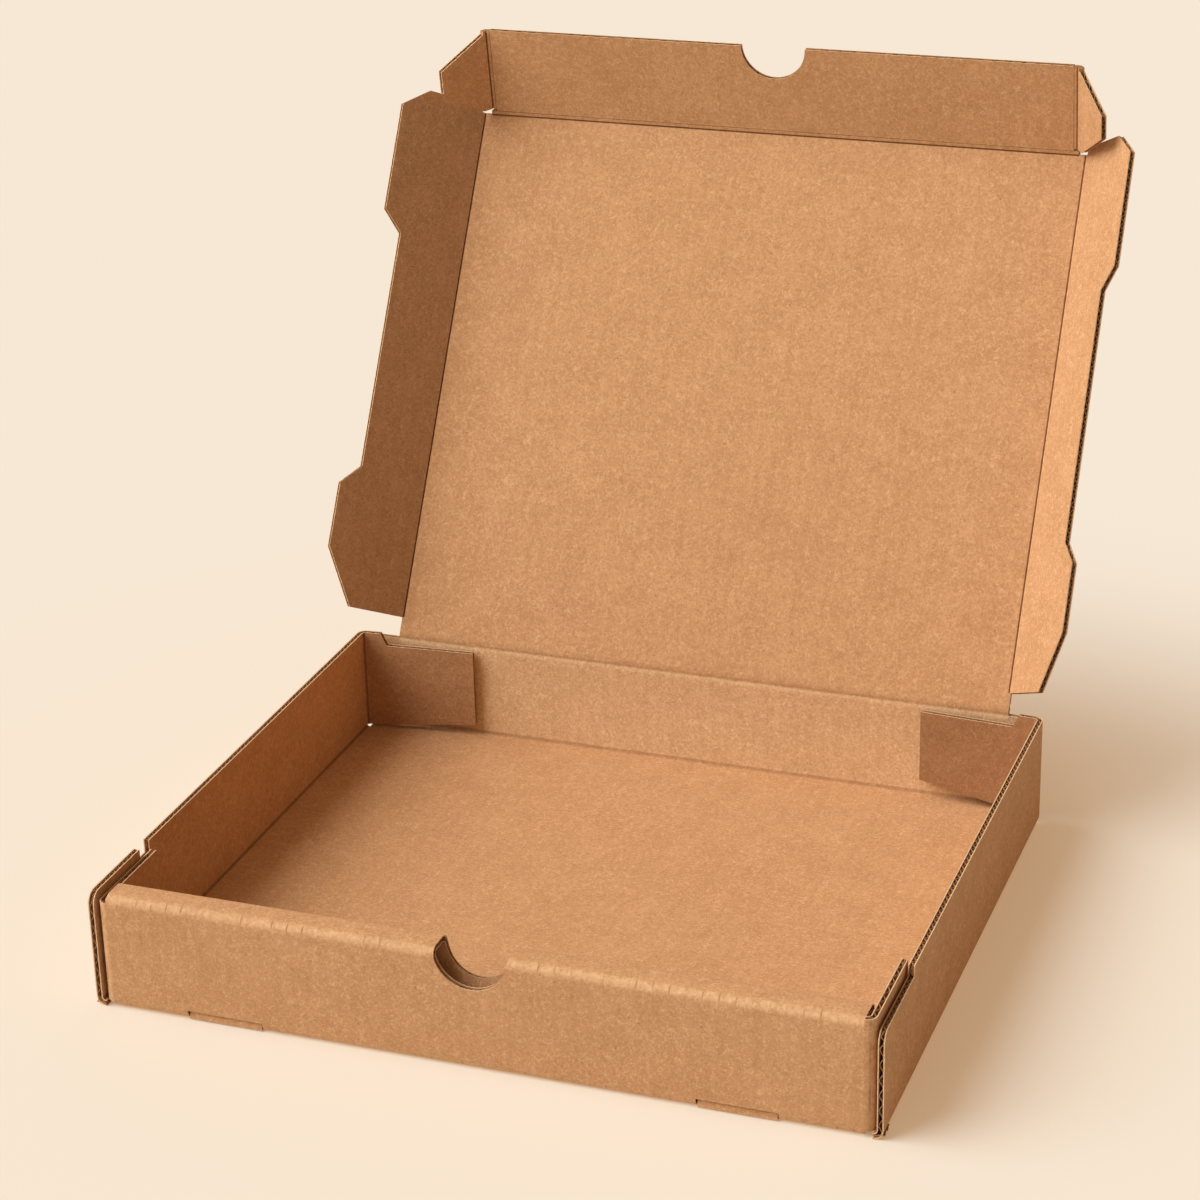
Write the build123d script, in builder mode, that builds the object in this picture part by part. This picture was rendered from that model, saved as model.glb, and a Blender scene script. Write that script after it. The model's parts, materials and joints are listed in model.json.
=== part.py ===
from build123d import *
from math import cos, radians, sin, tan
import os

# Pizza box: one die-cut sheet of kraft corrugated board, folded into a tray with a tuck-in lid.
# Millimetres, +Z up. The origin is the middle of the tray's underside, and the front faces -Y.

# Board and folds
board = 2.5            # thickness of the corrugated board
fold_inside = 1.5      # inside radius of a plain fold
score_gap = 0.4        # room left at each side of a scored fold line
score_land = 0.05      # uncut edge left on the outer liner at a scored fold

# Tray
tray_width = 310.0
tray_depth = 263.5
wall_height = 48.0     # side walls and front wall
lid_level = 43.0       # underside of the closed lid
wall_corner = 5.0      # rounding of the side walls' front top corners

# Rolled front wall, its corner ears and its lock tabs
front_band = 15.0      # depth of the front wall at its top
ear_length = 45.0
ear_gap = 1.0          # between an ear and the side wall
lock_tab_width = 30.0
lock_tab_place = 101.0
lock_tab_reach = 1.6   # front face to the middle of the lock slots
lock_slit = 0.5        # cut at each end of a lock tab
thumb_radius = 14.5    # half-round finger cuts in the front wall and the lid

# The two front corners differ: the ear is low at the left, the wall is low at the right.
ear_drop = {-1: 3.2, 1: 0.0}
step_drop = {-1: 5.5, 1: 4.5}
step_front = {-1: 38.0, 1: -1.0}   # front face to the near end of the step in the wall's top
step_back = {-1: 46.0, 1: 41.0}    # front face to its far end

# Rear corner tabs
tab_length = 52.0
tab_splay = 4.4        # degrees that a tab stands short of square to its wall
tab_room = 1.2         # free end to the back wall
tab_floor_gap = 0.6
tab_rise = {-1: 4.5, 1: 7.5}      # lower edge's rise towards the free end
tab_lid_gap = 0.6      # top of the tab to the closed lid
shoulder_gap = 3.0     # tab's raised shoulder to the closed lid's side
shoulder_slope = 4.0

# Lid
lid_side_room = 13.6   # side flaps' fold lines to the side walls
lid_front_room = 5.0   # front flap to the front wall when the lid is closed
lid_open = 121.0       # degrees that the lid stands open at rest
hinge_land = 0.5       # thickness left in the hinge crease
hinge_gap = 0.15

# Lid flaps
flap_floor_gap = 1.5   # edge of a tucked flap to the tray's floor
flap_fold = {-1: 45.0, 1: 53.0}    # degrees that each side flap is folded in at rest
flap_rear = 8.6        # hinge to the side flaps' rear ends
flap_front = -2.6      # front fold to the side flaps' front ends, which pass it a little
rear_cut = (14.0, 24.5)            # rear corner cut: across the flap, along the flap
front_cut = (12.0, 9.0)            # front corner cut
waist_cut = 9.0        # depth of the cut-back middle
waist_rear = 62.0      # hinge to the waist
waist_front = 55.0     # front fold to the waist
waist_slope = 9.2
front_fold = 40.0      # degrees that the front flap is folded in at rest
front_side_room = 1.2  # front flap's ends to the tucked side flaps

# Corner tabs on the front flap's ends
corner_fold = {-1: 53.0, 1: 55.0}
corner_reach = 26.0
corner_inset = 3.8     # front fold to the tab, along the front flap's end
corner_shoulder = 6.0  # straight part of the tab's edge beside the front fold
corner_top = 0.6       # front flap's free edge to the tab
corner_tip_inset = 18.0
corner_tip_width = 10.5

fold_mid = fold_inside + board / 2
front = -tray_depth / 2
back_inner = tray_depth / 2 - board
hinge_y = tray_depth / 2 - board / 2
hinge_z = lid_level + board / 2
side_mid = tray_width / 2 - board / 2
ear_mid = tray_width / 2 - board - ear_gap - board / 2
roll_half = ear_mid - fold_mid
slant_top = Vector(front + front_band - board / 2, wall_height - board / 2)
slant_foot = Vector(front + lock_tab_reach, 0)

tab_corner = back_inner - tab_room - board / 2 - tab_length * sin(radians(tab_splay))
tab_end = (side_mid - tab_length * cos(radians(tab_splay)), tab_corner + tab_length * sin(radians(tab_splay)))
side_end = tab_corner - fold_mid * tan(radians(90 - tab_splay) / 2)

lid_half = tray_width / 2 - board - lid_side_room
lid_length = hinge_y - (front + front_band + lid_front_room)
flap_depth = lid_level - flap_floor_gap
front_half = lid_half - board - front_side_room

lid_lean = radians(lid_open - 90)
lid_plane = Plane((0, hinge_y, hinge_z), x_dir=(1, 0, 0), z_dir=(0, -cos(lid_lean), sin(lid_lean)))
lid_outer = lid_plane.offset(-board / 2)

os.makedirs("parts", exist_ok=True)


def folded(panel, x, y, along, angle):
    """Plane of a flap's outer face, folded in by an angle about a fold line of its panel.

    The fold line passes through x, y on the panel's outer face. The flap's own X runs away
    from the fold line, and along is that direction on the panel before folding.
    """
    start = panel.from_local_coords((x, y, 0))
    out = panel.from_local_coords((x + along[0], y + along[1], 0)) - start
    turn = radians(angle)
    away = out * cos(turn) + panel.z_dir * sin(turn)
    inside = panel.z_dir * cos(turn) - out * sin(turn)
    return Plane(start, x_dir=away, z_dir=inside)


def slant_at(height):
    """Point on the middle line of the front wall's inner panel."""
    return slant_foot + (slant_top - slant_foot) * (height / slant_top.Y)


def score(part, plane):
    """The inner edge of a board along the fold line that a flap's plane lies on."""
    inner = part.edges().filter_by(Axis(plane.origin, plane.y_dir))
    inner = inner.filter_by(lambda e: abs(plane.to_local_coords(e.center()).Z - board) < 0.01)
    return inner.sort_by(lambda e: plane.to_local_coords(e.center()).X)[0]


# Tray
with BuildPart() as tray:
    # Floor and side walls fold from one strip.
    with BuildSketch(Plane.XZ.offset(-front)):
        with BuildLine():
            FilletPolyline(
                (-side_mid, wall_height),
                (-side_mid, board / 2),
                (side_mid, board / 2),
                (side_mid, wall_height),
                radius=fold_mid,
            )
        trace(line_width=board)
    extrude(amount=front - side_end)

    # The floor's front edge makes way for the front fold.
    with BuildSketch(Plane.XY):
        with Locations((0, front)):
            Rectangle(2 * roll_half, 4 * fold_mid)
    extrude(amount=2 * board, mode=Mode.SUBTRACT)

    # Steps in the side walls' top edges, and their rounded front corners.
    for side in (-1, 1):
        with BuildSketch(Plane.YZ.offset(side * (side_mid - board))):
            with Locations((front + step_front[side], wall_height - step_drop[side])):
                Rectangle(step_back[side] - step_front[side], wall_height, align=Align.MIN)
        extrude(amount=side * 2 * board, mode=Mode.SUBTRACT)
    wall_tops = tray.edges().filter_by(Axis.X).filter_by(lambda e: e.length < 2 * board)
    wall_tops = wall_tops.filter_by(lambda e: e.center().Z > wall_height / 2)
    fillet(wall_tops.group_by(Axis.Y)[0], radius=wall_corner)

    # Back wall, folded up from the rear edge of the floor, with the lid's crease along its top.
    with BuildSketch(Plane.YZ):
        with BuildLine():
            FilletPolyline(
                (side_end - board, board / 2),
                (hinge_y, board / 2),
                (hinge_y, hinge_z - hinge_gap - hinge_land / 2),
                radius=fold_mid,
            )
        trace(line_width=board)
    extrude(amount=ear_mid, both=True)
    back_top = tray.faces().filter_by(Axis.Z).filter_by(lambda f: f.center().Y > back_inner).sort_by(Axis.Z)[-1]
    chamfer(back_top.edges().filter_by(Axis.X), length=(board - hinge_land) / 2)

    # Front wall: up from the floor, over the top and down inside.
    with BuildSketch(Plane.YZ):
        with BuildLine():
            FilletPolyline(
                (front + 3 * fold_mid, board / 2),
                (front + board / 2, board / 2),
                (front + board / 2, wall_height - board / 2),
                (slant_top.X, slant_top.Y),
                (slant_at(2 * board).X, 2 * board),
                radius=fold_mid,
            )
        trace(line_width=board)
    extrude(amount=roll_half, both=True)

    # Lock tabs of the inner panel, pushed through slots in the front fold.
    with BuildSketch(Plane.XY):
        with Locations((-lock_tab_place, front), (lock_tab_place, front)):
            Rectangle(lock_tab_width + 2 * lock_slit, 2 * fold_mid)
    extrude(amount=fold_mid + board / 2, mode=Mode.SUBTRACT)
    for side in (-1, 1):
        with BuildSketch(Plane.YZ.offset(side * lock_tab_place)):
            with BuildLine():
                Line((slant_foot.X, slant_foot.Y), (slant_at(2 * board).X, 2 * board))
            trace(line_width=board)
        extrude(amount=lock_tab_width / 2, both=True)
    with BuildSketch(Plane.XY):
        with Locations((0, front)):
            Rectangle(tray_width, 4 * fold_mid)
    extrude(amount=-board, mode=Mode.SUBTRACT)

    # Finger cut through both panels of the front wall.
    with BuildSketch(Plane.XZ.offset(-front)):
        with Locations((0, wall_height)):
            Circle(thumb_radius)
    extrude(amount=-(front_band + board), mode=Mode.SUBTRACT)

    for side in (-1, 1):
        # Ear: the end of the front wall, folded back along the inside of the side wall.
        with BuildSketch(Plane.XY.offset(board)):
            with BuildLine():
                FilletPolyline(
                    (side * ear_mid, front + ear_length),
                    (side * ear_mid, front + board / 2),
                    (side * (roll_half - fold_inside), front + board / 2),
                    radius=fold_mid,
                )
            trace(line_width=board)
        extrude(amount=wall_height - ear_drop[side] - board)

        # Rear tab: the end of the side wall, folded in front of the back wall.
        with BuildSketch(Plane.XY.offset(board + tab_floor_gap)):
            with BuildLine():
                FilletPolyline(
                    (side * side_mid, side_end - board),
                    (side * side_mid, tab_corner),
                    (side * tab_end[0], tab_end[1]),
                    radius=fold_mid,
                )
            trace(line_width=board)
        extrude(amount=wall_height - board - tab_floor_gap)

        # Beside the lid the tab is cut down, so that the lid closes over it.
        shoulder = lid_half + shoulder_gap
        with BuildSketch(Plane.XZ.offset(-(side_end + score_gap))):
            with BuildLine():
                Polyline(
                    (side * (tab_end[0] - board), lid_level - tab_lid_gap),
                    (side * shoulder, lid_level - tab_lid_gap),
                    (side * (shoulder + shoulder_slope), wall_height + board),
                    (side * (tab_end[0] - board), wall_height + board),
                    close=True,
                )
            make_face()
        extrude(amount=-(back_inner - side_end - 2 * score_gap), mode=Mode.SUBTRACT)

        # Its lower edge rises from the wall to the free end.
        tab_foot = board + tab_floor_gap
        with BuildSketch(Plane.XZ.offset(-(side_end + score_gap))):
            with BuildLine():
                Polyline(
                    (side * roll_half, tab_foot),
                    (side * tab_end[0], tab_foot + tab_rise[side]),
                    (side * (tab_end[0] - board), tab_foot + tab_rise[side]),
                    (side * (tab_end[0] - board), tab_foot - tab_floor_gap / 2),
                    (side * roll_half, tab_foot - tab_floor_gap / 2),
                    close=True,
                )
            make_face()
        extrude(amount=-(back_inner - side_end - 2 * score_gap), mode=Mode.SUBTRACT)

tray.part.label = "tray"
export_step(tray.part, "parts/tray.step")

# Lid panel
front_plane = folded(lid_outer, 0, lid_length, (0, 1), front_fold)
side_planes = {side: folded(lid_outer, side * lid_half, 0, (side, 0), flap_fold[side]) for side in (-1, 1)}

with BuildPart() as lid:
    with BuildSketch(lid_outer):
        with Locations((0, hinge_gap + hinge_land / 2)):
            Rectangle(
                2 * (lid_half - score_gap),
                lid_length - score_gap - hinge_gap - hinge_land / 2,
                align=(Align.CENTER, Align.MIN),
            )
    extrude(amount=board)
    across = lid.edges().filter_by(Axis.X).sort_by(Axis(lid_plane.origin, lid_plane.y_dir))
    chamfer(across[:2], length=(board - hinge_land) / 2)
    inner_face = lid.faces().sort_by(Axis(lid_plane.origin, lid_plane.z_dir))[-1]
    inner_edges = inner_face.edges().sort_by(Axis(lid_plane.origin, lid_plane.y_dir))
    chamfer(inner_edges[1:], length=board - score_land)

lid.part.label = "lid"
export_step(lid.part, "parts/lid.step")

# Side flaps of the lid, cut back in the middle and at both ends
flap_names = {-1: "lid_left_flap", 1: "lid_right_flap"}
front_end = lid_length - flap_front
waist_end = lid_length - waist_front

for side in (-1, 1):
    outline = [
        (score_gap, flap_rear),
        (flap_depth - rear_cut[0], flap_rear),
        (flap_depth, flap_rear + rear_cut[1]),
        (flap_depth, waist_rear),
        (flap_depth - waist_cut, waist_rear + waist_slope),
        (flap_depth - waist_cut, waist_end - waist_slope),
        (flap_depth, waist_end),
        (flap_depth, front_end - front_cut[1]),
        (flap_depth - front_cut[0], front_end),
        (score_gap, front_end),
    ]
    with BuildPart() as flap:
        with BuildSketch(side_planes[side]):
            with BuildLine():
                Polyline(*[(depth, side * place) for depth, place in outline], close=True)
            make_face()
        extrude(amount=board)
        chamfer(score(flap, side_planes[side]), length=board - score_land)

    flap.part.label = flap_names[side]
    export_step(flap.part, f"parts/{flap_names[side]}.step")

# Front flap of the lid, with its finger cut
with BuildPart() as front_flap:
    with BuildSketch(front_plane):
        with BuildLine():
            Polyline(
                (score_gap, -(front_half - score_gap)),
                (flap_depth, -(front_half - score_gap)),
                (flap_depth, front_half - score_gap),
                (score_gap, front_half - score_gap),
                close=True,
            )
        make_face()
        with Locations((flap_depth, 0)):
            Circle(thumb_radius, mode=Mode.SUBTRACT)
    extrude(amount=board)
    chamfer(score(front_flap, front_plane), length=board - score_land)
    ends = front_flap.edges().filter_by(Axis(front_plane.origin, front_plane.x_dir))
    ends = ends.filter_by(lambda e: abs(front_plane.to_local_coords(e.center()).Z - board) < 0.01)
    chamfer([ends.sort_by(Axis.X)[0], ends.sort_by(Axis.X)[-1]], length=board - score_land)

front_flap.part.label = "lid_front_flap"
export_step(front_flap.part, "parts/lid_front_flap.step")

# Corner tabs on the front flap's ends
corner_names = {-1: "lid_left_corner_tab", 1: "lid_right_corner_tab"}

for side in (-1, 1):
    # Seen from inside, the front flap's own Y runs to the left.
    corner_plane = folded(front_plane, 0, -side * front_half, (0, -side), corner_fold[side])
    with BuildPart() as corner_tab:
        with BuildSketch(corner_plane):
            with BuildLine():
                Polyline(
                    (score_gap, side * corner_inset),
                    (corner_shoulder, side * corner_inset),
                    (corner_reach, side * corner_tip_inset),
                    (corner_reach, side * (corner_tip_inset + corner_tip_width)),
                    (score_gap, side * (flap_depth - corner_top)),
                    close=True,
                )
            make_face()
        extrude(amount=board)
        chamfer(score(corner_tab, corner_plane), length=board - score_land)

    corner_tab.part.label = corner_names[side]
    export_step(corner_tab.part, f"parts/{corner_names[side]}.step")
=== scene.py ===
import json
from math import cos, pi, radians, sin, tan

import bmesh
import bpy
from bpy.props import FloatProperty, FloatVectorProperty, PointerProperty
from mathutils import Matrix, Vector


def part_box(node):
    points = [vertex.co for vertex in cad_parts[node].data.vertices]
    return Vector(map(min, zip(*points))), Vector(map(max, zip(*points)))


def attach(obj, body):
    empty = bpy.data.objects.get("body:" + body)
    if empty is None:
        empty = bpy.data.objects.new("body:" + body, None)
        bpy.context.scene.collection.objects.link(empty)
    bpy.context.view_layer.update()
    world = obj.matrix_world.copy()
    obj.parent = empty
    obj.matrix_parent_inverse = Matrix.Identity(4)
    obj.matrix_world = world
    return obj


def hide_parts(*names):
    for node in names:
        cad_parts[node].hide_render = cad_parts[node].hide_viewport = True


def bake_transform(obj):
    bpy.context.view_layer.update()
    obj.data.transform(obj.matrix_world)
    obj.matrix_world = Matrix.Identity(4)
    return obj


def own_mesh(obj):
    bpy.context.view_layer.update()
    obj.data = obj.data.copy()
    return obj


bl_info = {
    "name": "Pizza Box",
    "version": (1, 0, 0),
    "blender": (4, 5, 0),
    "location": "View3D > Sidebar > Pizza Box",
    "description": "Dresses a folded corrugated pizza box: fluted board, creases and kraft paper",
    "category": "Object",
}

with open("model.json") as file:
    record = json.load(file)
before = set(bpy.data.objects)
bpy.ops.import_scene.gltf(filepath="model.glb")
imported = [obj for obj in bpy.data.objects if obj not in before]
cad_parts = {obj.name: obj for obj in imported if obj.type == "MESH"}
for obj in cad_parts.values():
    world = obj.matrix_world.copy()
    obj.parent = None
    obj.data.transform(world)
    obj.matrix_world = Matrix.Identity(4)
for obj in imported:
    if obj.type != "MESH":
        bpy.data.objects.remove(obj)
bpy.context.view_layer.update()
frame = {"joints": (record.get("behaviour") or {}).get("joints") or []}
JOINTS = {joint["name"]: joint for joint in frame["joints"]}

TRAY_LOW, TRAY_HIGH = (Vector(corner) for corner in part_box("tray"))
HINGE = Vector(JOINTS["lid_hinge"]["pos_m"])
UP_LID = Vector(JOINTS["lid_left_flap_fold"]["axis"])
RIGHT = Vector((1, 0, 0))
SIDES = {-1: "left", 1: "right"}


def number(name, default, description, **more):
    return FloatProperty(name=name, description=description, default=default, **more)


def length(name, default, description):
    return number(name, default, description, unit="LENGTH", precision=5)


def angle(name, degrees, description):
    return number(name, radians(degrees), description, subtype="ANGLE")


def factor(name, default, description):
    return number(name, default, description, subtype="FACTOR", min=0, max=1)


def vector(name, default, description, **more):
    return FloatVectorProperty(name=name, description=description, default=default, size=3, **more)


def colour(name, default, description):
    return vector(name, default, description, subtype="COLOR", min=0, max=1)


class BoardSizes(bpy.types.PropertyGroup):
    """Sizes of the corrugated board."""

    thickness: length("Thickness", 0.0025, "Both liners and the flutes between them")
    liner: length("Liner", 0.00042, "Thickness of one liner")
    paper: length("Flute Paper", 0.00028, "Thickness of the wavy paper")
    pitch: length("Flute Pitch", 0.0062, "One wave where an edge is cut across the flutes")
    dash: length("Dash Pitch", 0.0036, "One wave where an edge is cut along the flutes")
    recess: length("Recess", 0.00012, "Cut edge of the liners to the edge of the wavy paper")
    depth: length("Flute Depth", 0.004, "How far the wavy paper is followed into a cut edge")
    sample: length("Sample", 0.0006, "Step along a cut edge")
    fold: length("Fold Radius", 0.00275, "Middle of the board at a plain fold")
    crease: length("Crease Reach", 0.0027, "Fold line to the end of the crushed board beside it")
    groove: length("Crease Groove", 0.0007, "Depth of the scored line inside a crease")


class TraySizes(bpy.types.PropertyGroup):
    """Sizes of the tray."""

    front_band: length("Front Band", 0.015, "Depth of the rolled front wall at its top")
    ear_length: length("Ear Length", 0.045, "Front face to the end of a corner ear")
    ear_gap: length("Ear Gap", 0.001, "Between an ear and the side wall")
    tab_length: length("Rear Tab Length", 0.052, "Side wall to the free end of a rear corner tab")
    tab_splay: angle("Rear Tab Splay", 4.4, "Degrees that a rear tab stands short of square to its wall")
    tab_room: length("Rear Tab Room", 0.0012, "Free end of a rear tab to the back wall")
    tab_floor_gap: length("Rear Tab Floor Gap", 0.0006, "Rear tab to the floor")
    lock_place: length("Lock Tab Place", 0.101, "Middle of the box to the middle of a lock tab")
    lock_width: length("Lock Tab Width", 0.030, "Width of a lock tab")
    lock_slit: length("Lock Slit", 0.0005, "Cut at each end of a lock tab")
    lock_reach: length("Lock Reach", 0.0016, "Front face to the middle of the lock slots")
    thumb: length("Finger Cut", 0.0145, "Radius of the half-round finger cuts")
    wall_corner: length("Wall Corner", 0.005, "Rounding of the side walls' front top corners")


class LidSizes(bpy.types.PropertyGroup):
    """Sizes of the lid and its flaps."""

    side_room: length("Side Room", 0.0136, "Side flaps' fold lines to the side walls")
    front_room: length("Front Room", 0.005, "Front flap to the front wall when closed")
    flap_depth: length("Flap Depth", 0.0415, "Fold line to the free edge of a flap")
    flap_rear: length("Flap Rear End", 0.0086, "Hinge to the side flaps' rear ends")
    flap_front: length("Flap Front End", 0.0026, "How far the side flaps pass the front fold")
    front_inset: length("Front Flap Inset", 0.0037, "Lid's side fold line to the front flap's end")
    waist_cut: length("Waist Cut", 0.009, "Depth of the side flaps' cut-back middle")
    waist_rear: length("Waist Rear", 0.062, "Hinge to the waist")
    waist_front: length("Waist Front", 0.055, "Front fold to the waist")
    waist_slope: length("Waist Slope", 0.0092, "Length of the waist's slopes")
    tab_reach: length("Corner Tab Reach", 0.026, "Fold line to the tip of a corner tab")
    tab_inset: length("Corner Tab Inset", 0.0038, "Front fold to the tab")
    tab_shoulder: length("Corner Tab Shoulder", 0.006, "Straight part of the tab beside the front fold")
    tab_top: length("Corner Tab Top", 0.0006, "Front flap's free edge to the tab")
    tip_inset: length("Corner Tab Tip Inset", 0.018, "Front fold to the tab's tip")
    tip_width: length("Corner Tab Tip Width", 0.0105, "Width of the tab's tip")


class KraftColours(bpy.types.PropertyGroup):
    """Colours of the kraft paper, and of the painted shade inside its folds."""

    liner: colour("Liner", (0.595, 0.333, 0.168), "Outside of the board")
    liner_dark: colour("Liner Dark", (0.465, 0.245, 0.113), "Darker mottling of the liner")
    fibre: colour("Fibre", (0.74, 0.46, 0.255), "Pale fibres in the liner")
    # Painted shade inside a fold, darkest on its scored line.
    crease: colour("Crease", (0.10, 0.035, 0.010), "Scored line inside a fold")
    fleck: colour("Fleck", (0.33, 0.155, 0.062), "Dark fibres in the liner")
    speck: colour("Speck", (0.22, 0.10, 0.04), "Dark specks in the liner")
    # The cut edge's colour is also used for the pale wear and painted highlight outside folds.
    edge: colour("Cut Edge", (0.80, 0.55, 0.33), "Cut edge of a liner")
    flute: colour("Flutes", (0.40, 0.215, 0.10), "Wavy paper between the liners")


class StageLook(bpy.types.PropertyGroup):
    """Floor, light and camera."""

    floor: colour("Floor", (0.78, 0.84, 0.83), "Paper of the seamless floor")
    floor_glow: colour("Floor Glow Colour", (0.98, 0.60, 0.34), "Warm light that shadows on the floor keep")
    beyond: colour("Background", (0.925, 0.805, 0.665), "What lies beyond the floor")
    glow: factor("Floor Glow", 0.35, "Share of the floor that shows no shadow")
    key: number("Key Light", 3.6, "Soft light from the front left", min=0)
    key_colour: colour("Key Colour", (1.0, 0.98, 0.95), "Colour of the key light")
    key_size: angle("Key Size", 52, "How wide the key light looks from the box")
    key_from: vector("Key From", (-0.66, -0.32, 0.68), "Where the key light comes from", subtype="DIRECTION")
    fill: number("Fill Light", 0.32, "Even light from all round", min=0)
    fill_left: colour("Fill Left", (1.0, 0.84, 0.64), "Colour of the even light from the left")
    fill_right: colour("Fill Right", (1.0, 0.60, 0.30), "Colour of the even light from the right")
    fill_side: factor("Fill Side", 0.4, "How much weaker the even light is from the right")
    fill_top: number("Fill Top", 0.4, "How much stronger the even light is from above", min=0)
    fade_start: length("Shadow Fade Start", 0.17, "Box's middle to where shadows begin to fade")
    fade_end: length("Shadow Fade End", 0.52, "Box's middle to where shadows are gone")
    azimuth: angle("Azimuth", 20.25, "Camera to the right of the front")
    elevation: angle("Elevation", 23.38, "Camera above the floor")
    roll: angle("Roll", -1.4, "Camera's tilt about its own axis")
    place: vector("Camera Place", (0.39015, -1.04331, 0.61471), "Where the camera stands",
                  subtype="TRANSLATION", unit="LENGTH")
    lens: number("Lens", 94.23, "Focal length in millimetres on the camera's sensor", min=1)


class BoxSettings(bpy.types.PropertyGroup):
    """Everything that a user would change."""

    board: PointerProperty(type=BoardSizes)
    tray: PointerProperty(type=TraySizes)
    lid: PointerProperty(type=LidSizes)
    kraft: PointerProperty(type=KraftColours)
    stage: PointerProperty(type=StageLook)


# The box is folded a little differently at its left (-1) and at its right (1).
EAR_DROP = {-1: 0.0032, 1: 0.0}
STEP_DROP = {-1: 0.0055, 1: 0.0045}
STEP_FRONT = {-1: 0.038, 1: -0.001}
STEP_BACK = {-1: 0.046, 1: 0.041}
TAB_RISE = {-1: 0.0045, 1: 0.0075}
FLAP_FOLD = {-1: radians(45), 1: radians(53)}
CORNER_FOLD = {-1: radians(53), 1: radians(55)}
FRONT_FOLD = radians(40)

# Corner cuts of the side flaps: across the flap, along the flap.
REAR_CUT = (0.014, 0.0245)
FRONT_CUT = (0.012, 0.009)

# Tops of the rear tabs, which stay clear of the closed lid.
SHOULDER_GAP = 0.003
SHOULDER_SLOPE = 0.004
TAB_TOP_GAP = 0.0006

# Ends of the finger cut below the top of the front wall, outside and inside.
RISE_END = 1e-5
DROP_END = 1e-4

# Painted shade (above 0) on the rear tabs and the left flap, which face away from the key light, and painted
# light (below 0) on the back wall, with the colour gains of each.
TAB_PAINTED_SHADE = {-1: 0.22, 1: 0.38}
FLAP_PAINTED_SHADE = {-1: 0.24, 1: 0.0}
BACK_PAINTED_LIGHT = -0.8
PAINTED_SHADE_GAIN = (0.18, 0.11, 0.06)
PAINTED_LIGHT_GAIN = (1.4, 1.7, 2.0)

# How dark the painted shade inside the folds at the foot and the top of the back wall is.
BACK_CREASE_SHADE = 0.4
HINGE_CREASE_SHADE = 0.3

# Gaps at the folds that move, and the form of the crushed board there, in shares of its reach and groove.
SCORE_GAP = 0.0004
SKIN_GAP = 0.0006
CREASE_SHOULDER = 0.35
CREASE_CROWN = 0.06
GROOVE_LIP = 0.7
HINGE_GROOVE = 2 / 3

# Fineness of round shapes, and how near two places are that count as one.
FOLD_STEPS = 7
CORNER_STEPS = 6
THUMB_STEPS = 12
HALVINGS = 50
SHARP_ANGLE = radians(35)
SAME = 1e-6
CUT_SAME = 1e-7

# Share of an edge's length that runs across the flutes where they show as whole waves.
WAVE_SHARE = 0.5

# Raw paper is this much darker in its mottling.
EDGE_SHADE = 0.75
FLUTE_SHADE = 0.6

# How much each layer covers of the liner's colour below it: real flecks, fibres and specks, painted shade
# along the washboard and inside folds, and pale wear with a painted highlight outside folds.
FLECK_SHARE = 0.32
FIBRE_SHARE = 0.55
SPECK_SHARE = 0.55
WASHBOARD_SHADE_SHARE = 0.22
CREASE_SHADE_SHARE = 0.75
WEAR_AND_HIGHLIGHT_SHARE = 0.6

# Patches that fibres come in: their size beside the fibres' own, and how soft they end.
PATCH_SCALE = 0.7
PATCH_EDGE = 0.08

FLOOR_HALF = 20.0
CLIP_END = 50.0
SENSOR = 36.0


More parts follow.
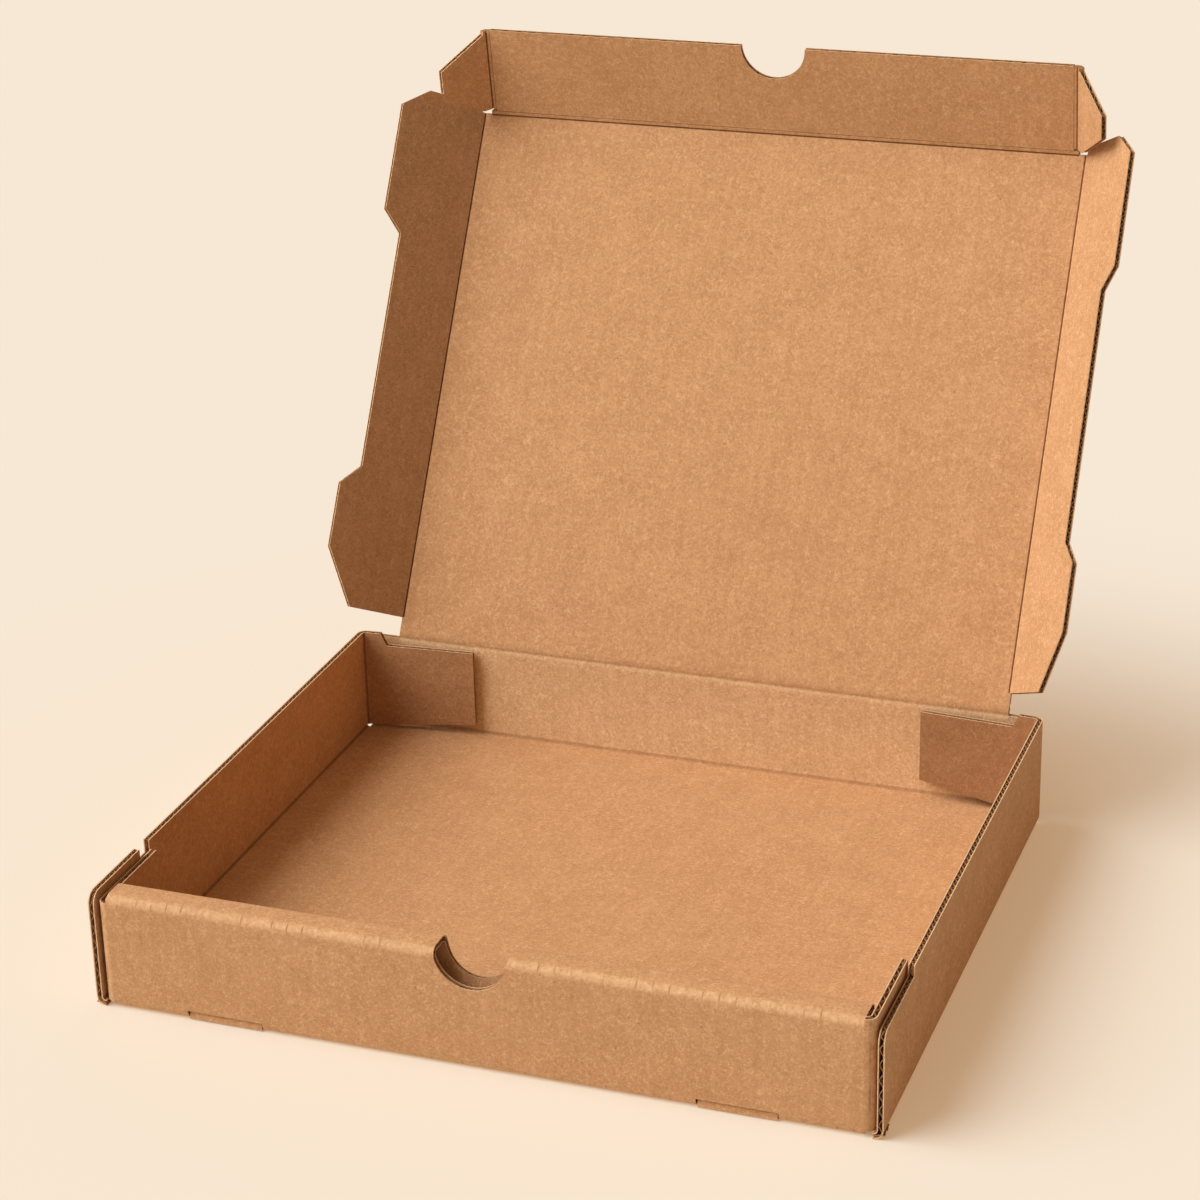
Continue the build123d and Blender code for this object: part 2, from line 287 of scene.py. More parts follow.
class Bend:
    """A line in a plane with rounded corners, followed by its length from the start."""

    def __init__(self, points, radius):
        points = [Vector(point) for point in points]
        self.points = []
        self.tangents = []
        self.curls = []
        opening = (points[1] - points[0]).normalized()
        turned = abs(opening.angle_signed((points[2] - points[1]).normalized()))
        if (points[1] - points[0]).length > radius * tan(turned / 2) + SAME:
            self.points.append(points[0])
            self.tangents.append(opening)
            self.curls.append(0.0)
        for before, corner, after in zip(points, points[1:], points[2:]):
            towards = (corner - before).normalized()
            away = (after - corner).normalized()
            turn = towards.angle_signed(away)
            reach = radius * tan(abs(turn) / 2)
            side = 1 if turn < 0 else -1
            centre = corner - towards * reach + side * radius * Vector((-towards.y, towards.x))
            for step in range(FOLD_STEPS + 1):
                heading = towards.copy()
                heading.rotate(Matrix.Rotation(-turn * step / FOLD_STEPS, 2))
                self.points.append(centre - side * radius * Vector((-heading.y, heading.x)))
                self.tangents.append(heading)
                self.curls.append(side * sin(pi * step / FOLD_STEPS))
        self.points.append(points[-1])
        self.tangents.append((points[-1] - points[-2]).normalized())
        self.curls.append(0.0)
        self.lengths = [0.0]
        for first, second in zip(self.points, self.points[1:]):
            self.lengths.append(self.lengths[-1] + (second - first).length)
        self.breaks = self.lengths[1:-1]
        self.total = self.lengths[-1]

    def find(self, s):
        """Step of the line that holds a length, and the share of it that is used."""
        index = 0
        while index < len(self.lengths) - 2 and s > self.lengths[index + 1]:
            index += 1
        return index, (s - self.lengths[index]) / (self.lengths[index + 1] - self.lengths[index])

    def curl(self, s):
        """1 in the middle of a bend towards the normal, -1 away from it, 0 where the line is straight."""
        index, share = self.find(s)
        return self.curls[index] + (self.curls[index + 1] - self.curls[index]) * share

    def at(self, s):
        """Point and normal at a length along the line."""
        index, share = self.find(s)
        point = self.points[index].lerp(self.points[index + 1], share)
        heading = self.tangents[index].lerp(self.tangents[index + 1], min(max(share, 0), 1)).normalized()
        return point, Vector((-heading.y, heading.x))

    def where(self, axis, value, low, high):
        """Length along the line at which one coordinate has a value, between two lengths."""
        rising = self.at(high)[0][axis] > self.at(low)[0][axis]
        for _ in range(HALVINGS):
            middle = (low + high) / 2
            if (self.at(middle)[0][axis] < value) == rising:
                low = middle
            else:
                high = middle
        return (low + high) / 2

    def spread(self, order):
        """Placing function of a board that follows the line.

        order says what X, Y and Z take: a and b are the line's own coordinates, and w runs along the fold.
        """

        def place(s, w):
            point, normal = self.at(s)
            spot = {"a": point.x, "b": point.y, "w": w}
            facing = {"a": normal.x, "b": normal.y, "w": 0.0}
            return Vector([spot[axis] for axis in order]), Vector([facing[axis] for axis in order])

        return place


class Panel:
    """Outer face of a flat panel. z points to the inside of the box, and a flap's x away from its fold."""

    def __init__(self, origin, x, z):
        self.origin = Vector(origin)
        self.x = Vector(x).normalized()
        self.z = Vector(z).normalized()
        self.y = self.z.cross(self.x)

    def at(self, x, y, z=0.0):
        return self.origin + self.x * x + self.y * y + self.z * z

    def folded(self, x, y, out, angle):
        """Panel folded in about a line through x, y. Its x is out before folding."""
        away = (self.x * out[0] + self.y * out[1]).normalized()
        onward = away * cos(angle) + self.z * sin(angle)
        inside = self.z * cos(angle) - away * sin(angle)
        return Panel(self.at(x, y), onward, inside)

    def place(self, thickness):
        """Placing function of a board with this outer face."""

        def middle(s, w):
            return self.at(s, w, thickness / 2), self.z

        return middle


class Piece:
    """Collects the boards of one piece, and the paths that its flutes follow along cut edges."""

    LINER, EDGE, FLUTE = range(3)

    def __init__(self, board):
        self.board = board
        self.mesh = bmesh.new()
        self.uv = self.mesh.loops.layers.uv.new("blank")
        # Painted shade inside bends and painted highlight outside them, then painted shade and light of whole
        # panels.
        self.crease = self.mesh.verts.layers.float.new("crease")
        self.painted_shading = self.mesh.verts.layers.float.new("painted_shading")
        self.paths = []

    def face(self, corners, spots, material):
        found = self.mesh.faces.new(corners)
        found.material_index = material
        for loop, spot in zip(found.loops, spots):
            loop[self.uv].uv = spot

    def level(self, flat, place, height, line, painted_shading, crease_shade):
        """Corners of a flat cut-out at a height above the middle of the board."""
        side = 1 if height > 0 else -1
        corners = {}
        for vert in flat.verts:
            s = vert.co.x
            point, normal = place(s, vert.co.y)
            curl = side * line.curl(s) if line else 0.0
            corner = self.mesh.verts.new(point + normal * height)
            # Above 0: painted shade inside a bend; below 0: pale wear with a painted highlight outside it.
            corner[self.crease] = curl * abs(curl) * crease_shade
            # Painted shade (above 0) and painted light (below 0) of the panel past its last bend.
            corner[self.painted_shading] = painted_shading if not line or s > line.breaks[-1] - SAME else 0.0
            corners[vert] = corner
        return corners

    def shell(self, flat, place, top, bottom, across, line, painted_shading, crease_shade):
        """Closed skin over a flat cut-out, between two heights above the middle of the board."""
        upper = self.level(flat, place, top, line, painted_shading, crease_shade)
        lower = self.level(flat, place, bottom, line, painted_shading, crease_shade)

        def spot(vert):
            return (vert.co.x, vert.co.y) if across == "s" else (vert.co.y, vert.co.x)

        for found in flat.faces:
            ring = list(found.verts)
            self.face([upper[v] for v in ring], [spot(v) for v in ring], self.LINER)
            ring.reverse()
            self.face([lower[v] for v in ring], [spot(v) for v in ring], self.LINER)
        for edge in flat.edges:
            if edge.is_boundary:
                loop = edge.link_loops[0]
                first, second = loop.vert, loop.link_loop_next.vert
                corners = [upper[first], lower[first], lower[second], upper[second]]
                self.face(corners, [spot(first), spot(first), spot(second), spot(second)], self.EDGE)

    @staticmethod
    def area(outline):
        """Signed area of an outline, negative where it runs clockwise."""
        return sum(a[0] * b[1] - b[0] * a[1] for a, b in zip(outline, outline[1:] + outline[:1])) / 2

    def cut_out(self, outline, line):
        """Flat mesh inside an outline, divided where the board bends."""
        points = outline if self.area(outline) > 0 else outline[::-1]
        flat = bmesh.new()
        flat.faces.new([flat.verts.new((point[0], point[1], 0)) for point in points])
        for value in line.breaks if line else ():
            bmesh.ops.bisect_plane(flat, geom=flat.verts[:] + flat.edges[:] + flat.faces[:], dist=CUT_SAME,
                                   plane_co=(value, 0, 0), plane_no=(1, 0, 0))
        return flat

    def sheet(self, outline, place, across, line=None, skin=None, painted_shadings=(0.0, 0.0), crease_shade=1.0):
        """Board with an outline of (s, w, cut): cut says if the edge to the next point is a cut edge.

        across names the coordinate that runs across the flutes. skin is the outline of the outer liner
        where that liner runs on over a crease. The two painted shadings are the painted shade (above 0) and
        painted light (below 0) of the inner and the outer liner past the last bend, and the crease shade says
        how dark the painted shade inside the bends is.
        """
        if self.area(outline) < 0:
            flags = [point[2] for point in outline]
            points = [point[:2] for point in reversed(outline)]
            flags = list(reversed(flags[:-1])) + [flags[-1]]
            outline = [(s, w, flag) for (s, w), flag in zip(points, flags)]
        half = self.board.thickness / 2
        core = half - self.board.liner
        inner = (outline, half, core, painted_shadings[0])
        outer = (skin or outline, -core, -half, painted_shadings[1])
        for points, top, bottom, painted_shading in (inner, outer):
            flat = self.cut_out(points, line)
            self.shell(flat, place, top, bottom, across, line, painted_shading, crease_shade)
            flat.free()
        for (s0, w0, cut), (s1, w1, _) in zip(outline, outline[1:] + outline[:1]):
            if cut:
                self.follow((s0, w0), (s1, w1), place, across)

    def follow(self, start, end, place, across):
        """Adds the path of the wavy paper along a cut edge."""
        start, end = Vector(start), Vector(end)
        run = end - start
        if run.length < 2 * self.board.sample:
            return
        inward = Vector((-run.y, run.x)).normalized()
        over = abs(run.x if across == "s" else run.y) > WAVE_SHARE * run.length
        pitch = self.board.pitch if over else self.board.dash
        count = max(2, int(run.length / self.board.sample))
        path = []
        for step in range(count + 1):
            spot = start + run * step / count
            inner = spot + inward * self.board.recess
            point, normal = place(*inner)
            deeper, _ = place(*(inner + inward * self.board.sample))
            wave = (start.x + start.y + run.length * step / count) / pitch
            path.append((point, normal, (deeper - point).normalized(), wave))
        self.paths.append(path)

    def finish(self, name, tree, materials):
        """The finished object, with its flutes baked in."""
        flutes = baked_flutes(name, self.paths, tree, self.board)
        self.mesh.from_mesh(flutes)
        bpy.data.meshes.remove(flutes)
        for found in self.mesh.faces:
            found.smooth = True
        return finished(name, self.mesh, materials)


def finished(name, mesh, materials):
    """Object at the origin with a closed mesh whose faces point outwards."""
    bmesh.ops.recalc_face_normals(mesh, faces=mesh.faces[:])
    data = bpy.data.meshes.new(name)
    mesh.to_mesh(data)
    mesh.free()
    data.set_sharp_from_angle(angle=SHARP_ANGLE)
    for material in materials:
        data.materials.append(material)
    made = bpy.data.objects.new(name, data)
    bpy.context.scene.collection.objects.link(made)
    return made


class Nodes:
    """Short hand for building a node tree."""

    def __init__(self, tree):
        self.tree = tree

    @classmethod
    def of(cls, owner):
        """Emptied node tree of a material or a world."""
        owner.use_nodes = True
        owner.node_tree.nodes.clear()
        return cls(owner.node_tree)

    def new(self, kind, inputs=(), **values):
        node = self.tree.nodes.new(kind)
        for key, value in values.items():
            setattr(node, key, value)
        for key, value in dict(inputs).items():
            socket = node.inputs[key]
            if isinstance(value, bpy.types.NodeSocket):
                self.tree.links.new(value, socket)
            else:
                socket.default_value = value
        return node

    def math(self, operation, *values, clamp=False):
        node = self.new("ShaderNodeMath", dict(enumerate(values)), operation=operation, use_clamp=clamp)
        return node.outputs[0]

    def share(self, value, factor):
        """A value times a factor, kept between 0 and 1."""
        return self.math("MULTIPLY", value, factor, clamp=True)

    def total(self, first, first_share, second, second_share):
        """Sum of two values, each with its share."""
        return self.math("ADD", self.math("MULTIPLY", first, first_share),
                         self.math("MULTIPLY", second, second_share))

    def noise(self, vector, scale, detail=2.0, roughness=0.5, distortion=0.0):
        values = {"Vector": vector, "Scale": scale, "Detail": detail, "Roughness": roughness,
                  "Distortion": distortion}
        return self.new("ShaderNodeTexNoise", values).outputs[0]

    def band(self, value, low, high):
        """0 below low, 1 above high."""
        values = {"Value": value, "From Min": low, "From Max": high}
        return self.new("ShaderNodeMapRange", values, interpolation_type="SMOOTHSTEP").outputs[0]

    def mix(self, factor, first, second):
        """Colour between two colours, each of which is a socket or three numbers."""
        first, second = (tint if isinstance(tint, bpy.types.NodeSocket) else (*tint, 1)
                         for tint in (first, second))
        return self.new("ShaderNodeMix", {0: factor, 6: first, 7: second}, data_type="RGBA").outputs[2]

    def paper(self, base, relief, strength, distance, roughness, specular):
        """Output of a material: paper with a colour and a relief."""
        bump = self.new("ShaderNodeBump", {"Height": relief, "Strength": strength, "Distance": distance})
        values = {"Base Color": base, "Normal": bump.outputs[0], "Roughness": roughness,
                  "Specular IOR Level": specular}
        shader = self.new("ShaderNodeBsdfPrincipled", values)
        self.new("ShaderNodeOutputMaterial", {0: shader.outputs[0]})


def flute_tree(material):
    """Geometry nodes that turn paths along cut edges into wavy paper."""
    tree = bpy.data.node_groups.new("flutes", "GeometryNodeTree")
    tree.interface.new_socket("Paths", in_out="INPUT", socket_type="NodeSocketGeometry")
    for name in ("Wave Height", "Depth", "Paper"):
        tree.interface.new_socket(name, in_out="INPUT", socket_type="NodeSocketFloat")
    tree.interface.new_socket("Flutes", in_out="OUTPUT", socket_type="NodeSocketGeometry")
    n = Nodes(tree)
    given = n.new("NodeGroupInput").outputs

    def attribute(name, kind):
        return n.new("GeometryNodeInputNamedAttribute", {"Name": name}, data_type=kind).outputs["Attribute"]

    def scaled(name, factor):
        vector = attribute(name, "FLOAT_VECTOR")
        return n.new("ShaderNodeVectorMath", {0: vector, "Scale": factor}, operation="SCALE").outputs[0]

    swing = n.math("SINE", n.math("MULTIPLY", attribute("wave", "FLOAT"), 2 * pi))
    height = n.math("MULTIPLY", swing, given["Wave Height"])
    wavy = n.new("GeometryNodeSetPosition", {"Geometry": given["Paths"], "Offset": scaled("across", height)})
    depth = scaled("into", given["Depth"])
    ribbon = n.new("GeometryNodeExtrudeMesh", {"Mesh": wavy.outputs[0], "Offset": depth},
                   mode="EDGES").outputs["Mesh"]
    thick = n.new("GeometryNodeExtrudeMesh", {"Mesh": ribbon, "Offset Scale": given["Paper"],
                                              "Individual": False}, mode="FACES")
    under = n.new("GeometryNodeFlipFaces", {0: ribbon})
    both = n.new("GeometryNodeJoinGeometry", {0: thick.outputs["Mesh"]})
    tree.links.new(under.outputs[0], both.inputs[0])
    merged = n.new("GeometryNodeMergeByDistance", {"Geometry": both.outputs[0], "Distance": SAME})
    real = n.new("GeometryNodeRealizeInstances", {0: merged.outputs[0]})
    painted = n.new("GeometryNodeSetMaterial", {"Geometry": real.outputs[0], "Material": material})
    n.new("NodeGroupOutput", {"Flutes": painted.outputs[0]})
    return tree


def baked_flutes(name, paths, tree, board):
    """Mesh of the wavy paper along a piece's cut edges."""
    points, edges, across, into, wave = [], [], [], [], []
    for path in paths:
        start = len(points)
        for point, normal, inward, turn in path:
            points.append(point)
            across.extend(normal)
            into.extend(inward)
            wave.append(turn)
        edges.extend((start + step, start + step + 1) for step in range(len(path) - 1))
    data = bpy.data.meshes.new(name + "_paths")
    data.from_pydata(points, edges, [])
    data.attributes.new("across", "FLOAT_VECTOR", "POINT").data.foreach_set("vector", across)
    data.attributes.new("into", "FLOAT_VECTOR", "POINT").data.foreach_set("vector", into)
    data.attributes.new("wave", "FLOAT", "POINT").data.foreach_set("value", wave)
    guide = bpy.data.objects.new(name + "_paths", data)
    bpy.context.scene.collection.objects.link(guide)
    modifier = guide.modifiers.new("flutes", "NODES")
    modifier.node_group = tree
    sockets = {item.name: item.identifier for item in tree.interface.items_tree if item.in_out == "INPUT"}
    modifier[sockets["Wave Height"]] = (board.thickness - 2 * board.liner - board.paper) / 2
    modifier[sockets["Depth"]] = board.depth
    modifier[sockets["Paper"]] = board.paper
    bpy.context.view_layer.update()
    evaluated = guide.evaluated_get(bpy.context.evaluated_depsgraph_get())
    flutes = bpy.data.meshes.new_from_object(evaluated)
    for polygon in flutes.polygons:
        polygon.material_index = Piece.FLUTE
    bpy.data.objects.remove(guide)
    bpy.data.meshes.remove(data)
    return flutes


def kraft_group():
    """Shader group: mottling, pale fibres, dark flecks and specks, and relief of kraft paper."""
    group = bpy.data.node_groups.new("kraft_paper", "ShaderNodeTree")
    group.interface.new_socket("Vector", in_out="INPUT", socket_type="NodeSocketVector")
    for name in ("Mottle", "Fibre", "Fleck", "Speck", "Height"):
        group.interface.new_socket(name, in_out="OUTPUT", socket_type="NodeSocketFloat")
    n = Nodes(group)
    place = n.new("NodeGroupInput").outputs["Vector"]
    cloud = n.noise(place, scale=70.0, detail=3.0, roughness=0.6)
    grain = n.noise(place, scale=850.0, detail=3.0, roughness=0.75)
    mottle = n.total(cloud, 0.25, grain, 0.75)

    def strands(scale, middle, patchy):
        """Short curly lines: where a noise crosses one value, in patches."""
        field = n.noise(place, scale, detail=1.0, distortion=0.8)
        near = n.math("ABSOLUTE", n.math("SUBTRACT", field, middle))
        line = n.math("SUBTRACT", 1.0, n.band(near, low=0.008, high=0.045))
        patches = n.noise(place, scale * PATCH_SCALE, detail=1.0)
        return n.math("MULTIPLY", line, n.band(patches, low=patchy, high=patchy + PATCH_EDGE))

    fibre = n.math("MAXIMUM", strands(430.0, middle=0.5, patchy=0.5),
                   strands(640.0, middle=0.46, patchy=0.47))
    fleck = n.math("MAXIMUM", strands(360.0, middle=0.53, patchy=0.54),
                   strands(560.0, middle=0.5, patchy=0.52))
    dots = n.new("ShaderNodeTexVoronoi", {"Vector": place, "Scale": 260.0, "Randomness": 1.0})
    dot = n.math("SUBTRACT", 1.0, n.band(dots.outputs["Distance"], low=0.06, high=0.15))
    chosen = n.band(n.noise(place, scale=120.0, detail=0.0), low=0.62, high=0.68)
    n.new("NodeGroupOutput", {
        "Mottle": n.band(mottle, low=0.36, high=0.64),
        "Fibre": fibre,
        "Fleck": fleck,
        "Speck": n.math("MULTIPLY", dot, chosen),
        "Height": n.total(grain, 0.6, fibre, 0.4),
    })
    return group


def liner_material(settings, group):
    """Kraft liner: painted shade along the flutes' washboard and inside bends, wear with a painted highlight
    and cracks outside them, and painted shade and light on whole panels.
    """
    kraft = settings.kraft
    material = bpy.data.materials.new("kraft_liner")
    n = Nodes.of(material)
    coordinates = n.new("ShaderNodeTexCoord").outputs
    place = coordinates["Object"]
    paper = n.new("ShaderNodeGroup", {"Vector": place}, node_tree=group).outputs
    flat = n.new("ShaderNodeSeparateXYZ", {0: coordinates["UV"]})
    wave = n.math("SINE", n.math("MULTIPLY", flat.outputs[0], 2 * pi / settings.board.pitch))
    # Painted shade in patchy stripes along the flutes' washboard.
    patches = n.band(n.noise(place, scale=26.0), low=0.35, high=0.75)
    washboard_shade = n.math("MULTIPLY", n.math("MULTIPLY_ADD", wave, 0.5, 0.5), patches)
    base = n.mix(paper["Mottle"], kraft.liner_dark, kraft.liner)
    layers = ((paper["Fleck"], FLECK_SHARE, kraft.fleck), (paper["Fibre"], FIBRE_SHARE, kraft.fibre),
              (paper["Speck"], SPECK_SHARE, kraft.speck), (washboard_shade, WASHBOARD_SHADE_SHARE, kraft.liner_dark))
    for mask, share, tint in layers:
        base = n.mix(n.math("MULTIPLY", mask, share), base, tint)

    # Painted shade inside the bends.
    crease = n.new("ShaderNodeAttribute", attribute_name="crease").outputs["Fac"]
    base = n.mix(n.share(crease, CREASE_SHADE_SHARE), base, kraft.crease)
    # Outside the bends: pale wear that is partly a painted highlight, and cracks at the flutes.
    crest = n.share(crease, -WEAR_AND_HIGHLIGHT_SHARE)
    wear_and_highlight = n.band(n.noise(place, scale=620.0), low=0.1, high=0.9)
    base = n.mix(n.math("MULTIPLY", crest, wear_and_highlight), base, kraft.edge)
    crack = n.math("MULTIPLY", n.band(wave, low=0.93, high=0.99), crest)
    cracked = n.band(n.noise(place, scale=90.0), low=0.4, high=0.6)
    base = n.mix(n.math("MULTIPLY", crack, cracked), base, kraft.speck)

    # Painted shade (above 0) and painted light (below 0) over whole panels, as a gain on the colour.
    painted_shading = n.new("ShaderNodeAttribute", attribute_name="painted_shading").outputs["Fac"]
    shading_gain = n.mix(n.share(painted_shading, 1.0), (1, 1, 1), PAINTED_SHADE_GAIN)
    shading_gain = n.mix(n.share(painted_shading, -1.0), shading_gain, PAINTED_LIGHT_GAIN)
    base = n.new("ShaderNodeVectorMath", {0: base, 1: shading_gain}, operation="MULTIPLY").outputs[0]
    relief = n.total(paper["Height"], 0.35, wave, 0.18)
    n.paper(base, relief, strength=0.35, distance=0.0004, roughness=0.86, specular=0.22)
    return material


def paper_material(name, tint, shade, group):
    """Raw paper of a cut edge or of the flutes. shade is how dark its mottling gets."""
    material = bpy.data.materials.new(name)
    n = Nodes.of(material)
    place = n.new("ShaderNodeTexCoord").outputs["Object"]
    paper = n.new("ShaderNodeGroup", {"Vector": place}, node_tree=group).outputs
    base = n.mix(paper["Mottle"], [part * shade for part in tint], tint)
    n.paper(base, paper["Height"], strength=0.5, distance=0.0003, roughness=0.95, specular=0.15)
    return material


class Workshop:
    """Materials and the flute tree, made once."""

    _made = None

    def __init__(self, settings):
        kraft = settings.kraft
        group = kraft_group()
        self.materials = [liner_material(settings, group),
                          paper_material("cut_edge", kraft.edge, EDGE_SHADE, group),
                          paper_material("flute_paper", kraft.flute, FLUTE_SHADE, group)]
        self.tree = flute_tree(self.materials[Piece.FLUTE])

    @classmethod
    def get(cls, settings):
        if cls._made is None:
            cls._made = cls(settings)
        return cls._made


class Lay:
    """Places worked out from the settings and the frame."""

    def __init__(self, settings):
        board, tray, lid = settings.board, settings.tray, settings.lid
        t, splay = board.thickness, tray.tab_splay
        self.front = TRAY_LOW.y
        self.width = TRAY_HIGH.x - TRAY_LOW.x
        self.height = TRAY_HIGH.z
        self.side_mid = self.width / 2 - t / 2
        self.ear_mid = self.width / 2 - t - tray.ear_gap - t / 2
        self.roll_half = self.ear_mid - board.fold
        self.lid_half = self.width / 2 - t - lid.side_room
        self.lid_length = HINGE.y - (self.front + tray.front_band + lid.front_room)
        self.front_half = self.lid_half - lid.front_inset
        along, inward = tray.tab_length * sin(splay), tray.tab_length * cos(splay)
        self.tab_corner = TRAY_HIGH.y - t - tray.tab_room - t / 2 - along
        self.tab_end = (self.side_mid - inward, self.tab_corner + along)
        self.side_end = self.tab_corner - board.fold * tan((pi / 2 - splay) / 2)
        self.front_joint = self.front + 3 * board.fold
        self.back_joint = HINGE.y - 2 * board.fold
        inside = RIGHT.cross(UP_LID)
        self.lid = Panel(HINGE - inside * t / 2, RIGHT, inside)
        self.front_flap = self.lid.folded(0, self.lid_length, (0, 1), FRONT_FOLD)
        self.flaps = {}
        self.corners = {}
        for side in SIDES:
            self.flaps[side] = self.lid.folded(side * self.lid_half, 0, (side, 0), FLAP_FOLD[side])
            end = -side * self.front_half
            self.corners[side] = self.front_flap.folded(0, end, (0, -side), CORNER_FOLD[side])


class PieceOperator:
    """What the operators share."""

    bl_options = {"REGISTER", "UNDO"}

    def start(self, context):
        settings = context.scene.pizza_box
        self.board, self.tray, self.lid = settings.board, settings.tray, settings.lid
        self.shop = Workshop.get(settings)
        self.lay = Lay(settings)

    def done(self, piece, node):
        made = piece.finish(node + "_board", self.shop.tree, self.shop.materials)
        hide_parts(node)
        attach(made, node)


class PIZZABOX_OT_tray(PieceOperator, bpy.types.Operator):
    """Folds the tray from fluted board"""

    bl_idname = "pizzabox.tray"
    bl_label = "Tray"

    def execute(self, context):
        self.start(context)
        piece = Piece(self.board)
        self.floor_and_sides(piece)
        self.back_wall(piece)
        self.front_wall(piece)
        for side in SIDES:
            self.ear(piece, side)
            self.rear_tab(piece, side)
        self.done(piece, "tray")
        return {"FINISHED"}

    def floor_and_sides(self, piece):
        """One strip, folded up at both sides."""
        lay, board, tray = self.lay, self.board, self.tray
        middle = board.thickness / 2
        line = Bend([(-lay.side_mid, lay.height), (-lay.side_mid, middle), (lay.side_mid, middle),
                     (lay.side_mid, lay.height)], board.fold)

        def on_floor(x):
            return line.where(0, x, line.breaks[0], line.breaks[-1])

        def wall_top(side):
            """Top edge of a side wall from front to back, with its rounded corner and its step."""
            drop, near, far = STEP_DROP[side], STEP_FRONT[side], STEP_BACK[side]
            radius = tray.wall_corner
            first = drop if near <= 0 else 0.0
            turns = [pi / 2 * step / CORNER_STEPS for step in range(CORNER_STEPS + 1)]
            ends = [(first + radius * (1 - sin(turn)), radius * (1 - cos(turn))) for turn in turns]
            if near > 0:
                ends += [(0.0, near), (drop, near)]
            ends += [(drop, far), (0.0, far), (0.0, lay.side_end - lay.front)]
            return [(down if side < 0 else line.total - down, lay.front + y) for down, y in ends]

        left, right = wall_top(-1), wall_top(1)
        tab_foot = board.thickness + tray.tab_floor_gap
        left_foot = line.where(1, tab_foot, 0, line.breaks[FOLD_STEPS - 1])
        right_foot = line.total - left_foot
        corner = lay.side_mid - board.fold
        left_floor, right_floor = on_floor(-corner), on_floor(corner)
        left_roll, right_roll = on_floor(-lay.roll_half), on_floor(lay.roll_half)
        outline = [(s, w, True) for s, w in left[:-1]]
        outline += [(*left[-1], False), (left_foot, lay.side_end, True), (left_floor, lay.side_end, True),
                    (left_floor, lay.back_joint, False), (right_floor, lay.back_joint, True),
                    (right_floor, lay.side_end, True), (right_foot, lay.side_end, False)]
        outline += [(s, w, True) for s, w in reversed(right)]
        outline += [(right_floor, lay.front, True), (right_floor, lay.front_joint, True),
                    (right_roll, lay.front_joint, False), (left_roll, lay.front_joint, True),
                    (left_floor, lay.front_joint, True), (left_floor, lay.front, True)]
        piece.sheet(outline, line.spread("awb"), "s", line)

    def back_wall(self, piece):
        """Folded up from the floor; its top carries the lid's crease."""
        lay, board = self.lay, self.board
        middle = board.thickness / 2
        line = Bend([(lay.back_joint, middle), (HINGE.y, middle), (HINGE.y, HINGE.z - SCORE_GAP)], board.fold)
        crease = line.total + SCORE_GAP - board.crease
        half = lay.lid_half - SCORE_GAP
        outline = [(0.0, -lay.ear_mid, False), (0.0, lay.ear_mid, True), (line.total, lay.ear_mid, True),
                   (line.total, half, True), (crease, half, False), (crease, -half, True),
                   (line.total, -half, True), (line.total, -lay.ear_mid, True)]
        # Painted light on the inside of the back wall, and weaker painted shade in the fold at its foot.
        piece.sheet(outline, line.spread("wab"), "w", line, painted_shadings=(BACK_PAINTED_LIGHT, 0.0), crease_shade=BACK_CREASE_SHADE)

    def front_wall(self, piece):
        """Up from the floor, over the top and down inside, with lock tabs at its foot."""
        lay, board, tray = self.lay, self.board, self.tray
        t = board.thickness
        foot = Vector((lay.front + tray.lock_reach, 0))
        crown = Vector((lay.front + tray.front_band - t / 2, lay.height - t / 2))
        slant_end = foot.lerp(crown, 2 * t / crown.y)
        line = Bend([(lay.front_joint, t / 2), (lay.front + t / 2, t / 2),
                     (lay.front + t / 2, lay.height - t / 2), crown, slant_end], board.fold)
        place = line.spread("wab")
        each = FOLD_STEPS + 1
        fold_start, fold_end = line.breaks[0], line.breaks[each - 1]
        top_start, top_end = line.breaks[2 * each - 1], line.breaks[2 * each]

        def outside(z):
            return line.where(1, z, fold_start, top_start)

        def inside(z):
            return line.where(1, z, top_end, line.total)

        slot_low = line.where(0, lay.front + board.fold, 0, fold_end)
        slot_high = outside(board.fold + t / 2)
        lock = tray.lock_place
        near = lock - tray.lock_width / 2 - tray.lock_slit
        far = lock + tray.lock_width / 2 + tray.lock_slit
        turns = [pi / 2 * step / THUMB_STEPS for step in range(THUMB_STEPS + 1)]
        notch = [(tray.thumb * sin(turn), lay.height - tray.thumb * cos(turn)) for turn in turns]
        rise = [(outside(min(z, lay.height - RISE_END)), x, True) for x, z in notch]
        drop = [(inside(min(z, lay.height - DROP_END)), x, True) for x, z in reversed(notch)]
        drop[-1] = (*drop[-1][:2], False)
        middle_part = [(0.0, 0.0, False)] + rise + drop
        middle_part += [(line.total, 0.0, True), (line.total, lock, False), (slot_high, lock, True),
                        (slot_high, near, True), (slot_low, near, True), (slot_low, lock, False),
                        (0.0, lock, False)]
        slant = slant_end - foot
        onward = slant.normalized()
        normal = Vector((0, -onward.y, onward.x))
        lift = t / 2 * onward.x / onward.y

        def tab_place(s, w):
            point = foot + onward * s
            return Vector((w, point.x, point.y)), normal

        for side in SIDES:
            ear_low = outside(t + board.fold / 2)
            ear_high = outside(lay.height - EAR_DROP[side] - board.fold)
            end_part = [(0.0, lock, False), (slot_low, lock, True), (slot_low, far, True),
                        (slot_high, far, True), (slot_high, lock, False), (line.total, lock, True),
                        (line.total, lay.roll_half, True), (ear_high, lay.roll_half, False),
                        (ear_low, lay.roll_half, True), (0.0, lay.roll_half, False)]
            for outline in (middle_part, end_part):
                piece.sheet([(s, side * w, cut) for s, w, cut in outline], place, "w", line)
            low, high = side * (lock - tray.lock_width / 2), side * (lock + tray.lock_width / 2)
            piece.sheet([(lift, low, True), (lift, high, True), (slant.length, high, False),
                         (slant.length, low, True)], tab_place, "w")

